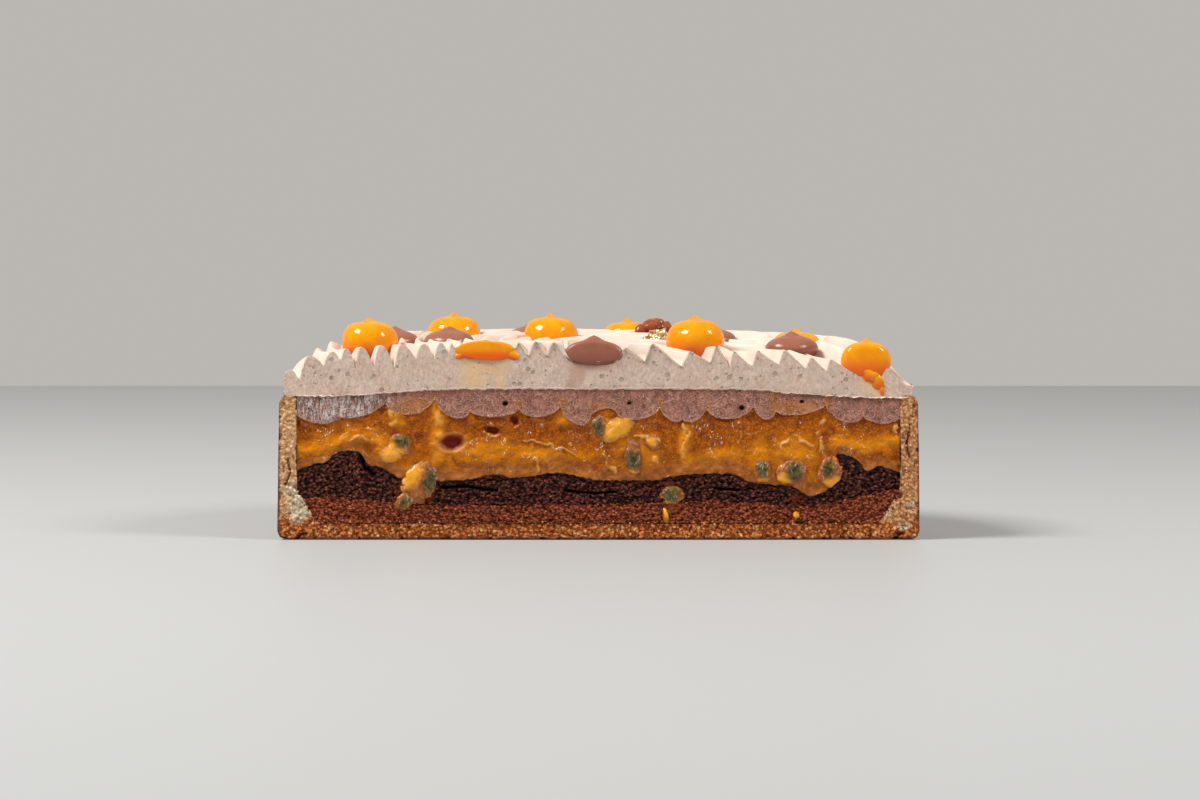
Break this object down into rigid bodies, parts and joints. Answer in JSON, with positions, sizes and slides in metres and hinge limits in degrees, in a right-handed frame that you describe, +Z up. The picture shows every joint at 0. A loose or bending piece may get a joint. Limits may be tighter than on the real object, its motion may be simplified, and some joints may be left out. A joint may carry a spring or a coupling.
{
  "type": "chocolate tart",
  "caption": "Half of a round chocolate tart, cut to show pastry, almond, brownie, fruit gel, ganache and ridged whipped cream under mango and chocolate dots.",
  "frame": {"origin": "middle of the rectangle that the half tart covers on the table, at the height of the table", "axes": "+X along the straight cut, -Y out of the cut face, +Z up"},
  "size_m": [0.155, 0.0776, 0.054],
  "materials": {
    "pastry": "baked golden-brown shortcrust, darker outside, dry and matte",
    "almond": "dense reddish-brown almond crumb, matte",
    "brownie": "very dark chocolate crumb with pores, matte",
    "fruit_gel": "translucent amber mango and passion fruit filling, wet",
    "ganache": "mauve milk chocolate ganache, satin",
    "cream": "pale peach whipped cream, satin",
    "mango_gel": "glossy orange mango gel",
    "chocolate_gel": "smooth milk chocolate gel, satin gloss",
    "candied_nut": "dark caramel, glossy",
    "seed": "dark green-black passion fruit seed, wet",
    "gold_leaf": "crumpled edible gold leaf"
  },
  "bodies": {
    "root": {"tart_shell": "pastry", "almond_layer": "almond", "brownie_layer": "brownie", "fruit_layer": "fruit_gel", "ganache_layer": "ganache", "whipped_cream": "cream", "mango_dot_1": "mango_gel", "mango_dot_2": "mango_gel", "mango_dot_3": "mango_gel", "mango_dot_4": "mango_gel", "mango_dot_5": "mango_gel", "mango_dot_6": "mango_gel", "mango_dot_7": "mango_gel", "mango_dot_8": "mango_gel", "chocolate_dot_1": "chocolate_gel", "chocolate_dot_2": "chocolate_gel", "chocolate_dot_3": "chocolate_gel", "chocolate_dot_4": "chocolate_gel", "chocolate_dot_5": "chocolate_gel", "chocolate_dot_6": "chocolate_gel", "chocolate_dot_7": "chocolate_gel", "candied_nut": "candied_nut"}
  },
  "joints": []
}
